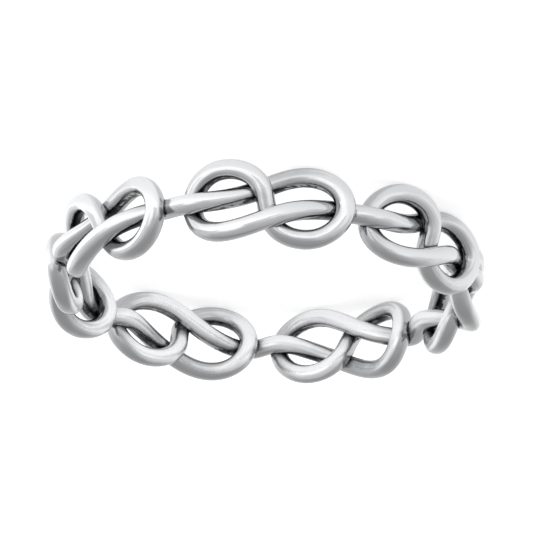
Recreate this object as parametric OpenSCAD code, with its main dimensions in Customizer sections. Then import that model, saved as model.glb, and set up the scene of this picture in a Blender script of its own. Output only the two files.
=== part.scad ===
// Infinity ring: one endless wire that ties seven figure-eight knots side by side around the finger.
// It lies on its side. The origin is on the ring's axis, level with what it rests on, and +Z is the axis.

/* [Ring] */
// Clear width of the finger opening
finger_d = 17.3; // [14:0.1:23]
// Width of the band, from edge to edge
band_w = 3.9; // [3.4:0.1:5]
// Number of knots around the ring
knots = 7; // [6:1:9]

/* [Wire] */
// Width of the wire, across the way that it runs
wire_w = 0.88; // [0.6:0.02:1.1]
// Thickness of the wire, from the finger side to the outside
wire_t = 0.95; // [0.7:0.05:1.2]
// How far the wire rises or dips from its middle level where it crosses itself
weave = 0.43; // [0.3:0.01:0.5]
// Shape of the wire's section, where 2 is an ellipse and more is squarer
squareness = 2.2; // [2:0.1:3]

/* [Plate] */
// Width of the wire at its bare flat place, in one link between two knots
plate_w = 1.06; // [0.9:0.02:1.3]
// Link that is flat, counted in knots from the front
plate_link = 4; // [0:1:5]

/* [Smoothness] */
// Stations along the wire in each knot
stations = 44; // [36:4:56]
// Corners of the wire's section
corners = 12; // [8:4:12]

/* [Hidden] */

// First half of a knot, from its left link to its middle. The columns are shares, chosen by hand:
// along the pitch from the knot's middle, across the band, and lift out of the middle level.
ALONG = 0;
ACROSS = 1;
LIFT = 2;
HALF_KNOT = [
    [-0.44, -0.10, -1.1], // link, and under the left loop's end
    [-0.29, -0.01, -0.5],
    [-0.10, 0.32, 1.0],   // over the middle strand
    [0.10, 0.93, 1.1],
    [0.27, 1.00, 0.0],    // top of the right loop
    [0.40, 0.53, -1.1],
    [0.43, -0.30, -0.9],  // right loop's end, under the next link
    [0.31, -1.02, 0.4],
    [0.13, -1.02, 1.0],   // bottom of the right loop, and over the strand that leaves
    [0.00, -0.48, 0.9],   // middle strand
];
// Rows over which the wire widens, on each side of the plate's middle
PLATE_ROWS = 1.3;

rows = 2 * len(HALF_KNOT);
link_row = rows - 0.5;
total = knots * stations;
pitch_angle = 360 / knots;
reach = (band_w - wire_w) / 2;

// The second half of a knot is the first, turned half round, with over and under exchanged
function half_row(j) = j < len(HALF_KNOT) ? HALF_KNOT[j] : -HALF_KNOT[rows - 1 - j];
function guide(i) = let (k = floor(i / rows)) half_row(i - k * rows) + [k, 0, 0];
function blend(f) = [
    pow(1 - f, 3),
    3 * pow(f, 3) - 6 * pow(f, 2) + 4,
    -3 * pow(f, 3) + 3 * pow(f, 2) + 3 * f + 1,
    pow(f, 3)
] / 6;

// Smooth route through the rows, in shares, at row number s
function shares(s) = let (i = floor(s), b = blend(s - i))
    b[0] * guide(i - 1) + b[1] * guide(i) + b[2] * guide(i + 1) + b[3] * guide(i + 2);
function row_of(n) = rows * n / stations;
widest = max([for (n = [0 : stations - 1]) shares(row_of(n))[ACROSS]]);
highest = max([for (n = [0 : stations - 1]) shares(row_of(n))[LIFT]]);
mid_r = finger_d / 2 + wire_t / 2 + weave * highest;

function outward(a) = [sin(a), -cos(a), 0];
function centre(n) = let (p = shares(row_of(n)), a = pitch_angle * p[ALONG])
    (mid_r + weave * p[LIFT]) * outward(a) + [0, 0, reach * p[ACROSS] / widest];
function unit(v) = v / norm(v);

// The wire's section: half-widths sideways and outward, and its corner number c
function squared(t) = sign(t) * pow(abs(t), 2 / squareness);
function corner(c, half_w, half_t) = let (a = 360 * c / corners)
    [half_w * squared(cos(a)), half_t * squared(sin(a))];
function plate_share(n) = let (d = (row_of(n) - plate_link * rows - link_row) / PLATE_ROWS) max(0, 1 - d * d);
function width_at(n) = wire_w + (plate_w - wire_w) * plate_share(n);

function section(n) =
    let (
        here = centre(n),
        tangent = unit(centre(n + 1) - centre(n - 1)),
        side = unit(cross(outward(pitch_angle * shares(row_of(n))[ALONG]), tangent)),
        up = cross(tangent, side)
    )
    [
        for (c = [0 : corners - 1])
            let (q = corner(c, width_at(n) / 2, wire_t / 2))
                here + q[0] * side + q[1] * up
    ];

sections = [for (n = [0 : total - 1]) section(n)];
lowest = min([for (s = sections) for (p = s) p[2]]);

// A point just past station n, so that each stretch of wire runs a little way into the next
OVERRUN = 0.02;
function past(n, way) = centre(n) + way * OVERRUN * unit(centre(n + 1) - centre(n - 1));

// Where strands cross they sink into one another, as they do in the cast ring
module stretch_of_wire(n) {
    near = corners;
    far = corners + 1;
    start = corners + 2;
    hull()
        polyhedron(
            points = concat(sections[n], [past(n, -1), past(n + 1, 1)], sections[(n + 1) % total]),
            faces = [
                for (c = [0 : corners - 1]) let (d = (c + 1) % corners, a = start + c, b = start + d)
                    each [[near, d, c], [c, d, a], [d, b, a], [far, a, b]]
            ]
        );
}

module knotted_wire() {
    color("silver")
        translate([0, 0, -lowest])
            for (n = [0 : total - 1])
                stretch_of_wire(n);
}

knotted_wire();
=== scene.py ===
"""Infinity ring: one endless silver wire, tied in figure-eight knots, on a white light table."""
import math

import bpy
import numpy as np
from bpy.props import FloatProperty, FloatVectorProperty, IntProperty, PointerProperty
from mathutils import Matrix, Vector
from mathutils.bvhtree import BVHTree


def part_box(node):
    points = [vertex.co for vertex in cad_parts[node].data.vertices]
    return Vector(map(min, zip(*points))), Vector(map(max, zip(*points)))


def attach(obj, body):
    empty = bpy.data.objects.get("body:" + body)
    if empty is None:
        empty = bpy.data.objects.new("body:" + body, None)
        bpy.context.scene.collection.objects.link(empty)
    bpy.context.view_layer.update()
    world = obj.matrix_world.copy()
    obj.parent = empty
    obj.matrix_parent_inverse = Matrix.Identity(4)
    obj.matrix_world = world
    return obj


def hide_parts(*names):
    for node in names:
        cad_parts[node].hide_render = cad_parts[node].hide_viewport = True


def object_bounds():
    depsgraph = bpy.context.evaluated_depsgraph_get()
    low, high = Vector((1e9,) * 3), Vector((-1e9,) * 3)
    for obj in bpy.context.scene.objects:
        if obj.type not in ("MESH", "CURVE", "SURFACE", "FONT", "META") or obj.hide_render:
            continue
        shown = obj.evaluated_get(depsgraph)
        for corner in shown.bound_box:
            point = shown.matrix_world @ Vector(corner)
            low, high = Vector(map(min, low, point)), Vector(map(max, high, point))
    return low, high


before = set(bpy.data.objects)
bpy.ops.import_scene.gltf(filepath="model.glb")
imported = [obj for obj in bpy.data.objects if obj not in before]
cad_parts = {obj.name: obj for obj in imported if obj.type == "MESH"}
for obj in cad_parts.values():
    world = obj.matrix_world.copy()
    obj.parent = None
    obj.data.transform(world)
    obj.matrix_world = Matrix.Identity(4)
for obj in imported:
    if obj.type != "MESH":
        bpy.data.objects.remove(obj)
CAD_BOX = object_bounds()

bl_info = {
    "name": "Infinity Ring",
    "version": (1, 0, 0),
    "blender": (4, 5, 0),
    "location": "3D View > Sidebar > Infinity Ring",
    "description": "Builds a knotted wire ring, its silver and the light table it lies on",
    "category": "Add Mesh",
}

# The CAD node that the wire stands for, and the body that it rides on
NODE = "knotted_wire"
BODY = "root"
# Share of the CAD box's width by which the wire may stand proud of it
PROUD = 0.03

# Fine steps of the wire's mesh
RINGS_PER_KNOT = 210
CORNERS = 36
# Points at which one knot's route is measured, for its widest and highest place and for its length
PEAK_POINTS = 2000
LENGTH_POINTS = 4001
# Short step, in rows, that gives the route's direction
SHORT_STEP = 1e-3

# First half of a knot, from its left link to its middle, as shares: along the pitch from the knot's
# middle, across the band, and lift out of the middle level
HALF_KNOT = np.array([
    (-0.44, -0.10, -1.1),   # link, and under the left loop's end
    (-0.29, -0.01, -0.5),
    (-0.10, 0.32, 1.0),     # over the middle strand
    (0.10, 0.93, 1.1),
    (0.27, 1.00, 0.0),      # top of the right loop
    (0.40, 0.53, -1.1),
    (0.43, -0.30, -0.9),    # right loop's end, under the next link
    (0.31, -1.02, 0.4),
    (0.13, -1.02, 1.0),     # bottom of the right loop, and over the strand that leaves
    (0.00, -0.48, 0.9),     # middle strand
])
ALONG, ACROSS, LIFT = range(3)
# The second half is the first, turned half round, with over and under exchanged
KNOT = np.concatenate([HALF_KNOT, -HALF_KNOT[::-1]])
ROWS = len(KNOT)
LINK_ROW = ROWS - 0.5
# Rows over which the wire widens, on each side of the plate's middle
PLATE_ROWS = 1.3

# Rays that feel how closed in a spot is, and how far off the metal they start, as a share of their reach
RAYS = 48
RAY_START = 0.01
# Turn from each ray to the next, which spreads them evenly
RAY_TURN = math.pi * (3 - math.sqrt(5))
# Polishing streaks: how fine they are round the section, and along one knot
STREAK_LINES = 2.5
STREAK_LENGTHS = 9.0

# A pair gives the values at which a soft step starts and ends. The first two are for how squarely a spot
# faces the finger, to be on the finger side, and how squarely it faces in or out, to be rubbed
FINGER_SIDE = (0.0, 0.6)
RUBBED_CROWN = (0.50, 0.95)
# Oxide: how much touching counts off a closed-in share, where it thins beside a seam and how far, how
# dark the seam is, the clouds that turn into specks, and how much rougher it is than silver
TOUCH_OFF = 0.08
BESIDE_SEAM = (0.46, 0.54)
THINNED = 0.4
SEAM_DARK = 0.9
SPECKS = (0.45, 0.70)
OXIDE_ROUGH = 0.15
# Painted shade and wear: how much less lit share the finger side has, the lift that neither lightens nor
# shades, the sway of streaks and clouds, and the lit share at which the painted shade starts to lift and is
# gone
INNER_WEAR = 0.12
PLAIN_LIFT = 0.55
STREAK_WEAR = 1.5
CLOUD_WEAR = 0.25
WORN = (0.25, 1.0)
# Sway of the roughness, and shares of the relief
GRAIN_ROUGH = 0.05
STREAK_ROUGH = 0.12
GRAIN_RELIEF = 0.05
SWELL_RELIEF = 1.5
STREAK_RELIEF = 0.18
# The middle value of a noise
NOISE_MIDDLE = 0.5

# Distances in metres: from the wire, over which the painted shade in the table's glow ends, and from the
# ring's axis, over which the table's painted pool of light starts
SHADE_END = (0.001, 0.007)
BRIGHT_START = (0.0, 0.022)
TABLE_ROUGH = 0.9
# Parts of a direction over which the tent's low light, its +X side and its front fade
LOW_FADE = (0.0, 1.0)
SIDE_FADE = (0.0, 0.7)
FRONT_FADE = (-0.4, 0.4)
# The tent's panels, each with its azimuth from the front towards +X and its elevation, the radii of its
# even middle and of the whole, all in degrees, and how much light it adds
PANELS = (
    (38, 10, 12, 24, 0.50),
    (-42, 8, 8, 20, 0.30),
    (120, 10, 10, 30, 0.15),
    (-120, 10, 10, 30, 0.15),
    (0, 26, 6, 16, -0.12),   # the opening for the camera
)
# Half the light table's width, in metres
TABLE_HALF = 0.6
# Width of the camera's sensor in millimetres, and the nearest and farthest that it sees, in metres
SENSOR = 36.0
NEAREST, FARTHEST = 0.01, 10.0


class RingSizes(bpy.types.PropertyGroup):
    """Sizes of the ring, the same as in the part's source."""

    finger_d: FloatProperty(name="Finger Opening", description="Clear width of the finger opening",
                            default=0.0173, unit="LENGTH")
    band_w: FloatProperty(name="Band Width", description="Width of the band, from edge to edge",
                          default=0.0039, unit="LENGTH")
    knots: IntProperty(name="Knots", description="Number of knots around the ring", default=7, min=6, max=9)
    wire_w: FloatProperty(name="Wire Width", description="Width of the wire, across the way that it runs",
                          default=0.00088, unit="LENGTH")
    wire_t: FloatProperty(name="Wire Thickness", description="From the finger side to the outside",
                          default=0.00095, unit="LENGTH")
    weave: FloatProperty(name="Weave", description="Rise or dip of the wire where it crosses itself",
                         default=0.00043, unit="LENGTH")
    squareness: FloatProperty(name="Squareness", description="Shape of the section, where 2 is an ellipse",
                              default=2.2, min=2.0, max=4.0)
    plate_w: FloatProperty(name="Plate Width", description="Width of the wire at its bare flat place",
                           default=0.00106, unit="LENGTH")
    plate_link: IntProperty(name="Plate Link", description="Link that is flat, counted from the front",
                            default=4)


class SilverFinish(bpy.types.PropertyGroup):
    """Colours of the silver and its oxide, and how worn and how rough they are."""

    silver: FloatVectorProperty(name="Silver", description="Colour of the polished crowns", subtype="COLOR",
                                size=4, default=(0.63, 0.635, 0.645, 1.0))
    # The inner silver is a brighter copy of the silver: painted light on the finger side's crowns
    inner: FloatVectorProperty(name="Inner Silver", description="Colour of the crowns on the finger side",
                               subtype="COLOR", size=4, default=(0.82, 0.826, 0.838, 1.0))
    # The satin colour is painted shade on the wire's sides and on the strands that dip under others
    satin_and_shade: FloatVectorProperty(name="Satin", description="Colour of the wire's greyer sides", subtype="COLOR",
                               size=4, default=(0.44, 0.444, 0.452, 1.0))
    oxide: FloatVectorProperty(name="Oxide", description="Colour of the darkened recesses", subtype="COLOR",
                               size=4, default=(0.035, 0.036, 0.04, 1.0))
    scuffed: FloatVectorProperty(name="Scuffed Oxide", description="Colour of specks in the oxide",
                                 subtype="COLOR", size=4, default=(0.13, 0.13, 0.135, 1.0))
    polish: FloatProperty(name="Polish", description="Roughness of the polished silver", default=0.15,
                          subtype="FACTOR")
    brushed: FloatProperty(name="Brushed", description="How much rougher the finger side is", default=0.13,
                           subtype="FACTOR")
    # This sets how much painted shade darkens the strands that dip under others
    dip_shade: FloatProperty(name="Sunk", description="How much less the wheel reaches strands that dip",
                        default=0.9, subtype="FACTOR")
    reach: FloatProperty(name="Recess Reach", description="How far a facing strand still closes a spot in",
                         default=0.003, unit="LENGTH")
    touch: FloatProperty(name="Touch Reach", description="How near a strand counts as touching",
                         default=0.0006, unit="LENGTH")
    oxide_from: FloatProperty(name="Oxide From", description="Closed-in share at which the oxide starts",
                              default=0.46, subtype="FACTOR")
    oxide_full: FloatProperty(name="Oxide Full", description="Closed-in share at which the oxide is full",
                              default=0.49, subtype="FACTOR")
    patchy: FloatProperty(name="Patchy", description="How unevenly the oxide ends", default=0.12,
                          subtype="FACTOR")
    rubbed: FloatProperty(name="Rubbed", description="How far the wheel keeps oxide off the crowns",
                          default=0.40, subtype="FACTOR")
    seam_from: FloatProperty(name="Seam From", description="Touched share at which a dark seam starts",
                             default=0.53, subtype="FACTOR")
    seam_full: FloatProperty(name="Seam Full", description="Touched share at which a dark seam is full",
                             default=0.63, subtype="FACTOR")
    patch: FloatProperty(name="Patch Size", description="Size of the oxide's uneven patches",
                         default=0.0024, unit="LENGTH")
    cloud: FloatProperty(name="Cloud Size", description="Size of the clouds in silver and oxide",
                         default=0.0004, unit="LENGTH")
    grain: FloatProperty(name="Grain Size", description="Size of the satin grain",
                         default=0.0000625, unit="LENGTH")
    swell: FloatProperty(name="Swell Size", description="Size of the hollows that hand finishing leaves",
                         default=0.0011, unit="LENGTH")
    relief: FloatProperty(name="Relief", description="Height of the hollows and streaks",
                          default=0.00004, unit="LENGTH")


class StudioSettings(bpy.types.PropertyGroup):
    """The light table, the tent's light and the camera's place."""

    table: FloatVectorProperty(name="Table", description="Colour of the light table", subtype="COLOR",
                               size=4, default=(0.85, 0.85, 0.85, 1.0))
    glow: FloatProperty(name="Table Glow", description="Light that the whole table gives", default=0.53)
    # Beside and Bright Side paint shade under the wire and a pool of light on one side into the table's glow
    beside: FloatProperty(name="Beside", description="Light that the table adds beside the wire",
                          default=0.08)
    bright: FloatProperty(name="Bright Side", description="Light that the table adds on its bright side",
                          default=0.60)
    bright_side: FloatProperty(name="Bright Azimuth", description="Bright side, from the front towards +X",
                               default=math.radians(56), subtype="ANGLE", unit="ROTATION")
    overhead: FloatProperty(name="Overhead", description="Light of the tent's top", default=0.56)
    front: FloatProperty(name="Front", description="Light that the tent adds in front", default=0.06)
    low: FloatProperty(name="Low", description="Light that the tent adds near the table", default=0.40)
    side: FloatProperty(name="Side", description="Light that the tent adds low on the +X side", default=0.08)
    distance: FloatProperty(name="Camera Distance", description="From the ring's middle", default=0.1911,
                            unit="LENGTH")
    azimuth: FloatProperty(name="Camera Azimuth", description="Turn from the middle of the front knot",
                           default=math.radians(-0.52), subtype="ANGLE", unit="ROTATION")
    elevation: FloatProperty(name="Camera Elevation", description="Height above the table, as an angle",
                             default=math.radians(20.98), subtype="ANGLE", unit="ROTATION")
    roll: FloatProperty(name="Camera Roll", description="The photograph shows the ring turned half round",
                        default=math.radians(182.54), subtype="ANGLE", unit="ROTATION")
    half_view: FloatProperty(name="Half View", description="Half of the camera's angle of view",
                             default=math.radians(3.763), subtype="ANGLE", unit="ROTATION")
    aim_x: FloatProperty(name="Aim Across", description="Aim, to the right of the ring's middle",
                         default=0.00008, unit="LENGTH")
    aim_y: FloatProperty(name="Aim Up", description="Aim, above the ring's middle in the picture",
                         default=0.00056, unit="LENGTH")


class Wire:
    """The wire's route and section, worked out from the ring's sizes."""

    def __init__(self, sizes):
        self.s = sizes
        self.pitch = 2 * math.pi / sizes.knots
        self.reach = (sizes.band_w - sizes.wire_w) / 2
        fine = self.shares(np.linspace(0, ROWS, PEAK_POINTS))
        self.widest = fine[:, ACROSS].max()
        self.mid_r = sizes.finger_d / 2 + sizes.wire_t / 2 + sizes.weave * fine[:, LIFT].max()

    def guide(self, index):
        rows = KNOT[index % ROWS].copy()
        rows[:, ALONG] += np.floor_divide(index, ROWS)
        return rows

    def shares(self, s):
        """Smooth route through the knot's rows, at row numbers s."""
        i = np.floor(s).astype(int)
        f = (s - i)[:, None]
        weights = ((1 - f) ** 3, 3 * f**3 - 6 * f**2 + 4, -3 * f**3 + 3 * f**2 + 3 * f + 1, f**3)
        return sum(w * self.guide(i + step) for w, step in zip(weights, (-1, 0, 1, 2))) / 6

    def outward(self, s):
        a = self.pitch * self.shares(s)[:, ALONG]
        return np.stack([np.sin(a), -np.cos(a), np.zeros_like(a)], 1)

    def centres(self, s):
        p = self.shares(s)
        centres = (self.mid_r + self.s.weave * p[:, LIFT])[:, None] * self.outward(s)
        centres[:, 2] = self.reach * p[:, ACROSS] / self.widest
        return centres

    def even_rows(self):
        """Row numbers at even steps along one knot's wire."""
        s = np.linspace(0, ROWS, LENGTH_POINTS)
        steps = np.linalg.norm(np.diff(self.centres(s), axis=0), axis=1)
        run = np.concatenate([[0], np.cumsum(steps)])
        return np.interp(np.linspace(0, run[-1], RINGS_PER_KNOT, endpoint=False), run, s)

    def widths(self, s):
        d = (s - self.s.plate_link * ROWS - LINK_ROW) / PLATE_ROWS
        return self.s.wire_w + (self.s.plate_w - self.s.wire_w) * np.maximum(0, 1 - d * d)

    def squared(self, t):
        return np.sign(t) * np.abs(t) ** (2 / self.s.squareness)

    def rings(self):
        """Points of every section, as an array of rings by corners by three."""
        one = self.even_rows()
        s = np.concatenate([one + k * ROWS for k in range(self.s.knots)])
        here = self.centres(s)
        tangent = unit(self.centres(s + SHORT_STEP) - self.centres(s - SHORT_STEP))
        side = unit(np.cross(self.outward(s), tangent))
        up = np.cross(tangent, side)
        c = 2 * math.pi * np.arange(CORNERS) / CORNERS
        x = self.squared(np.cos(c))[None, :, None] * self.widths(s)[:, None, None] / 2
        y = self.squared(np.sin(c))[None, :, None] * self.s.wire_t / 2
        points = here[:, None] + x * side[:, None] + y * up[:, None]
        points[:, :, 2] -= points[:, :, 2].min()
        return points


def unit(v):
    return v / np.linalg.norm(v, axis=-1, keepdims=True)


def tube_faces(count):
    """Quads of a closed tube of rings that joins its own start."""
    r = np.arange(count)[:, None]
    c = np.arange(CORNERS)[None, :]
    r2, c2 = (r + 1) % count, (c + 1) % CORNERS
    quads = np.stack([r * CORNERS + c, r * CORNERS + c2, r2 * CORNERS + c2, r2 * CORNERS + c], 2)
    return quads.reshape(-1, 4)


def sky_rays():
    """Directions spread over a hemisphere about +Z, denser towards its top."""
    k = np.arange(RAYS) + 0.5
    r = np.sqrt(k / RAYS)
    a = k * RAY_TURN
    return [Vector(ray) for ray in np.stack([r * np.cos(a), r * np.sin(a), np.sqrt(1 - r * r)], 1)]


def closed_in(points, normals, faces, reaches):
    """Shares of the sky over each of the first knot's points that metal within each reach hides."""
    tree = BVHTree.FromPolygons(points.tolist(), faces.tolist())
    rays = sky_rays()
    reaches = np.array(reaches)
    shares = np.zeros((RINGS_PER_KNOT * CORNERS, len(reaches)))
    for share, point, normal in zip(shares, points, normals):
        normal = Vector(normal)
        turn = normal.to_track_quat("Z", "Y").to_matrix()
        start = Vector(point) + normal * (RAY_START * reaches.max())
        for ray in rays:
            distance = tree.ray_cast(start, turn @ ray, reaches.max())[3]
            if distance is not None:
                share += distance < reaches
    return shares / RAYS


def streak_places(count, knots):
    """Places on a loop in four dimensions, so that streaks run along the wire and meet at its start."""
    turn = 2 * math.pi * np.arange(count) / count
    corner = 2 * math.pi * (np.arange(count) % CORNERS) / CORNERS
    loop = STREAK_LENGTHS * knots / (2 * math.pi)
    along = np.stack([STREAK_LINES * np.cos(corner), STREAK_LINES * np.sin(corner), loop * np.cos(turn)], 1)
    return along, loop * np.sin(turn)


class Socket:
    """A shader value: Python's operators on it add Math nodes."""

    def __init__(self, nodes, link):
        self.nodes, self.link = nodes, link

    def _math(self, operation, *values):
        return self.nodes.add("Math", {"operation": operation}, dict(enumerate(values)))

    def __add__(self, other):
        return self._math("ADD", self, other)

    def __sub__(self, other):
        return self._math("SUBTRACT", self, other)

    def __rsub__(self, other):
        return self._math("SUBTRACT", other, self)

    def __mul__(self, other):
        return self._math("MULTIPLY", self, other)

    def __pow__(self, other):
        return self._math("POWER", self, other)

    def __neg__(self):
        return self._math("MULTIPLY", self, -1.0)

    def __abs__(self):
        return self._math("ABSOLUTE", self)

    __radd__, __rmul__ = __add__, __mul__

    def smooth(self, low, high):
        """0 below low and 1 above high, with a soft step between."""
        return self.nodes.add("MapRange", {"interpolation_type": "SMOOTHSTEP"}, {0: self, 1: low, 2: high})

    def sway(self, share):
        """A share of a noise, up or down from its middle."""
        return (self - NOISE_MIDDLE) * share


class Nodes:
    """A node tree that is filled by one method, add."""

    def __init__(self, owner):
        owner.use_nodes = True
        self.tree = owner.node_tree
        self.tree.nodes.clear()

    def add(self, kind, settings=None, values=None, out=0):
        """Adds a node and gives back its output out, or each of them where out is a tuple."""
        node = self.tree.nodes.new("ShaderNode" + kind)
        for name, value in (settings or {}).items():
            setattr(node, name, value)
        for key, value in (values or {}).items():
            if isinstance(value, Socket):
                self.tree.links.new(value.link, node.inputs[key])
            else:
                node.inputs[key].default_value = value
        if isinstance(out, tuple):
            return [Socket(self, node.outputs[key]) for key in out]
        return Socket(self, node.outputs[out]) if node.outputs else node

    def attribute(self, name, out="Fac"):
        return self.add("Attribute", {"attribute_name": name}, out=out)

    def noise(self, place, size, detail):
        """Noise with features of a size in metres."""
        return self.add("TexNoise", {}, {"Vector": place, "Scale": 1 / size, "Detail": detail})

    def mix_colours(self, share, a, b):
        return self.add("Mix", {"data_type": "RGBA"}, {0: share, 6: tuple_of(a), 7: tuple_of(b)}, out=2)


def tuple_of(colour):
    return colour if isinstance(colour, Socket) else tuple(colour)


def silver_material(finish):
    """Silver with bright crowns, painted shade on its sides and dipping strands, painted light on the finger
    side, and dark oxide in its recesses.
    """
    material = bpy.data.materials.new("oxidised_silver")
    n = Nodes(material)
    place = n.add("TexCoord", out="Object")
    patch = n.noise(place, finish.patch, detail=1.0)
    cloud = n.noise(place, finish.cloud, detail=5.0)
    grain = n.noise(place, finish.grain, detail=3.0)
    swell = n.noise(place, finish.swell, detail=1.0)
    streak = n.add("TexNoise", {"noise_dimensions": "4D"}, {
        "Vector": n.attribute("along", out="Vector"), "W": n.attribute("ahead"), "Scale": 1.0, "Detail": 3.0,
    })
    recess, touch, outward = n.attribute("recess"), n.attribute("touch"), n.attribute("outward")
    crown = abs(outward)
    inside = (-outward).smooth(*FINGER_SIDE)

    # Oxide stays where strands close a spot in, unevenly, and is rubbed off the crowns
    closed = recess - touch * TOUCH_OFF - crown.smooth(*RUBBED_CROWN) * finish.rubbed
    closed = closed + patch.sway(finish.patchy) + cloud.sway(finish.patchy / 2)
    kept = 1 - touch.smooth(*BESIDE_SEAM) * THINNED
    oxide = closed.smooth(finish.oxide_from, finish.oxide_full) * kept
    seam = touch.smooth(finish.seam_from, finish.seam_full) * SEAM_DARK
    dark = 1 - (1 - oxide) * (1 - seam)
    soot = n.mix_colours(cloud.smooth(*SPECKS), finish.oxide, finish.scuffed)

    # Painted shade greys the sides and the strands that dip, less on crowns and raised strands; streaks run
    # along the wire; the finger side is brushed
    lit_share = crown - inside * INNER_WEAR + (n.attribute("proud") - PLAIN_LIFT) * finish.dip_shade
    lit_and_worn = (lit_share + streak.sway(STREAK_WEAR) + cloud.sway(CLOUD_WEAR)).smooth(*WORN)
    # Painted light: the finger side takes the brighter inner silver
    metal = n.mix_colours(lit_and_worn, finish.satin_and_shade, n.mix_colours(inside, finish.silver, finish.inner))
    rough = finish.polish + inside * finish.brushed
    rough = rough + grain.sway(GRAIN_ROUGH) + streak.sway(STREAK_ROUGH) + oxide * OXIDE_ROUGH
    height = grain * GRAIN_RELIEF + swell * SWELL_RELIEF + streak * STREAK_RELIEF
    bump = n.add("Bump", {}, {"Strength": 1.0, "Distance": finish.relief, "Height": height})
    shader = n.add("BsdfPrincipled", {}, {
        "Base Color": n.mix_colours(dark, metal, soot), "Metallic": 1.0, "Roughness": rough, "Normal": bump,
    })
    n.add("OutputMaterial", {}, {"Surface": shader})
    return material


def new_object(name, points, faces):
    mesh = bpy.data.meshes.new(name)
    mesh.from_pydata(points.tolist(), [], faces.tolist())
    mesh.polygons.foreach_set("use_smooth", [True] * len(mesh.polygons))
    mesh.update()
    item = bpy.data.objects.new(name, mesh)
    bpy.context.scene.collection.objects.link(item)
    return item


def set_attribute(mesh, name, values):
    """Stores a number or a vector for each point, which the material reads by its name."""
    kind, field = ("FLOAT", "value") if values.ndim == 1 else ("FLOAT_VECTOR", "vector")
    mesh.attributes.new(name, kind, "POINT").data.foreach_set(field, values.ravel())


def check_fit(points):
    """Stops the script if the wire stands too far out of its node's box."""
    low, high = np.array(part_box(NODE))
    room = PROUD * (high - low)
    if (points.min(0) < low - room).any() or (points.max(0) > high + room).any():
        raise RuntimeError("the wire stands out of the box of " + NODE)


class RING_OT_knotted_wire(bpy.types.Operator):
    """Builds the knotted wire and its silver."""

    bl_idname = "infinity_ring.knotted_wire"
    bl_label = "Knotted Wire"

    def execute(self, context):
        sizes, finish = context.scene.ring_sizes, context.scene.silver_finish
        form = Wire(sizes)
        rings = form.rings()
        points = rings.reshape(-1, 3)
        faces = tube_faces(len(rings))
        check_fit(points)
        wire = new_object("wire", points, faces)

        normals = np.empty(points.size)
        wire.data.vertices.foreach_get("normal", normals)
        normals = normals.reshape(-1, 3)
        shares = closed_in(points, normals, faces, (finish.reach, finish.touch))
        recess, touch = np.tile(shares, (sizes.knots, 1)).T
        outward = (normals[:, :2] * unit(points[:, :2])).sum(1)
        # How far a spot stands out of the middle level, on the side that it faces, as a share of the most
        lift = np.linalg.norm(points[:, :2], axis=1) - form.mid_r
        proud = np.sign(outward) * lift / (sizes.weave + sizes.wire_t / 2)
        along, ahead = streak_places(len(points), sizes.knots)
        masks = {"recess": recess, "touch": touch, "outward": outward, "proud": proud,
                 "along": along, "ahead": ahead}
        for name, values in masks.items():
            set_attribute(wire.data, name, values)

        wire.data.materials.append(silver_material(finish))
        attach(wire, BODY)
        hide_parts(NODE)
        return {"FINISHED"}


def direction(azimuth, elevation):
    """Unit vector from the ring, with the azimuth turned from the front towards +X."""
    flat = math.cos(elevation)
    return Vector((math.sin(azimuth) * flat, -math.cos(azimuth) * flat, math.sin(elevation)))


def table_material(studio, ring_r):
    """A white light table that glows, with painted shade in its glow right under the wire and a painted pool
    of light on one side.
    """
    material = bpy.data.materials.new("light_table")
    n = Nodes(material)
    place = n.add("TexCoord", out="Object")
    x, y = n.add("SeparateXYZ", {}, {"Vector": place}, out=(0, 1))
    off_wire = abs((x * x + y * y) ** 0.5 - ring_r)
    # Painted shade: less glow right under the wire; painted light: more glow on one side
    glow = studio.glow + off_wire.smooth(*SHADE_END) * studio.beside
    aside = x * math.sin(studio.bright_side) - y * math.cos(studio.bright_side)
    glow = glow + aside.smooth(*BRIGHT_START) * studio.bright
    shader = n.add("BsdfPrincipled", {}, {
        "Base Color": tuple(studio.table), "Roughness": TABLE_ROUGH, "Specular IOR Level": 0.0,
        "Emission Color": glow, "Emission Strength": 1.0,
    })
    n.add("OutputMaterial", {}, {"Surface": shader})
    return material


def light_tent(studio):
    """The soft tent around the table: brighter in front and near the table, with its panels."""
    world = bpy.data.worlds.new("tent")
    bpy.context.scene.world = world
    n = Nodes(world)
    ray = n.add("TexCoord", out="Generated")
    x, y, z = n.add("SeparateXYZ", {}, {"Vector": ray}, out=(0, 1, 2))
    low = (1 - z.smooth(*LOW_FADE)) * (studio.low + x.smooth(*SIDE_FADE) * studio.side)
    level = studio.overhead + (-y).smooth(*FRONT_FADE) * studio.front + low
    for *angles, light in PANELS:
        azimuth, elevation, inner, outer = (math.radians(angle) for angle in angles)
        middle = direction(azimuth, elevation)
        near = n.add("VectorMath", {"operation": "DOT_PRODUCT"}, {0: ray, 1: middle}, out="Value")
        level = level + near.smooth(math.cos(outer), math.cos(inner)) * light
    background = n.add("Background", {}, {"Color": level, "Strength": 1.0})
    n.add("OutputWorld", {}, {"Surface": background})


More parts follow.
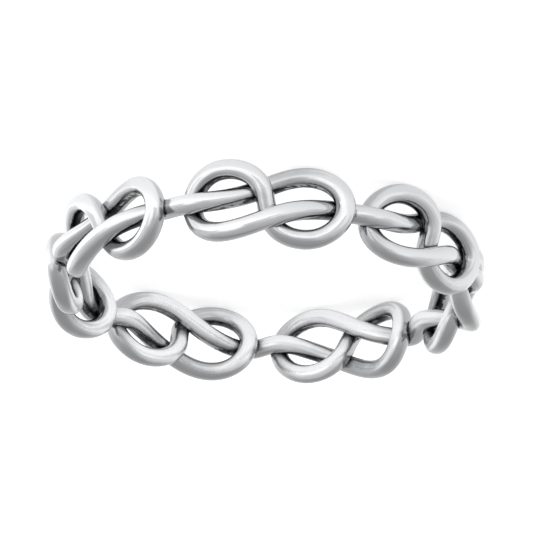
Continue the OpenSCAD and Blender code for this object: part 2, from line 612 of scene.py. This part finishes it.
def place_camera(studio, middle):
    back = direction(studio.azimuth, studio.elevation)
    right = Vector((0.0, 0.0, 1.0)).cross(back).normalized()
    up = back.cross(right)
    turn = Matrix.Rotation(studio.roll, 3, back)
    right, up = turn @ right, turn @ up
    data = bpy.data.cameras.new("camera")
    data.sensor_width = SENSOR
    data.lens = SENSOR / 2 / math.tan(studio.half_view)
    data.clip_start, data.clip_end = NEAREST, FARTHEST
    camera = bpy.data.objects.new("camera", data)
    where = middle + back * studio.distance + right * studio.aim_x + up * studio.aim_y
    axes = Matrix((right, up, back)).transposed()
    camera.matrix_world = Matrix.Translation(where) @ axes.to_4x4()
    bpy.context.scene.collection.objects.link(camera)
    bpy.context.scene.camera = camera


class RING_OT_stage(bpy.types.Operator):
    """Sets the light table, the tent of light and the camera."""

    bl_idname = "infinity_ring.stage"
    bl_label = "Stage"

    def execute(self, context):
        studio, sizes = context.scene.studio_settings, context.scene.ring_sizes
        corners = TABLE_HALF * np.array([(-1, -1, 0), (1, -1, 0), (1, 1, 0), (-1, 1, 0)])
        table = new_object("table", corners, np.array([(0, 1, 2, 3)]))
        table.data.materials.append(table_material(studio, Wire(sizes).mid_r))
        light_tent(studio)
        low, high = CAD_BOX
        place_camera(studio, Vector((0.0, 0.0, (low[2] + high[2]) / 2)))
        context.scene.view_settings.view_transform = "Standard"
        return {"FINISHED"}


class RING_PT_panel(bpy.types.Panel):
    """Lists the settings, and the buttons that build the ring and its stage."""

    bl_label = "Infinity Ring"
    bl_idname = "RING_PT_panel"
    bl_space_type = "VIEW_3D"
    bl_region_type = "UI"
    bl_category = "Infinity Ring"

    def draw(self, context):
        for name, group in GROUPS.items():
            box = self.layout.box()
            for setting in group.__annotations__:
                box.prop(getattr(context.scene, name), setting)
        for operator in OPERATORS:
            self.layout.operator(operator.bl_idname)


GROUPS = {"ring_sizes": RingSizes, "silver_finish": SilverFinish, "studio_settings": StudioSettings}
OPERATORS = (RING_OT_knotted_wire, RING_OT_stage)
CLASSES = (*GROUPS.values(), *OPERATORS, RING_PT_panel)


def register():
    for item in CLASSES:
        bpy.utils.register_class(item)
    for name, group in GROUPS.items():
        setattr(bpy.types.Scene, name, PointerProperty(type=group))


def unregister():
    for name in GROUPS:
        delattr(bpy.types.Scene, name)
    for item in reversed(CLASSES):
        bpy.utils.unregister_class(item)


def main():
    register()
    bpy.ops.infinity_ring.knotted_wire()
    bpy.ops.infinity_ring.stage()


if __name__ == "__main__":
    main()
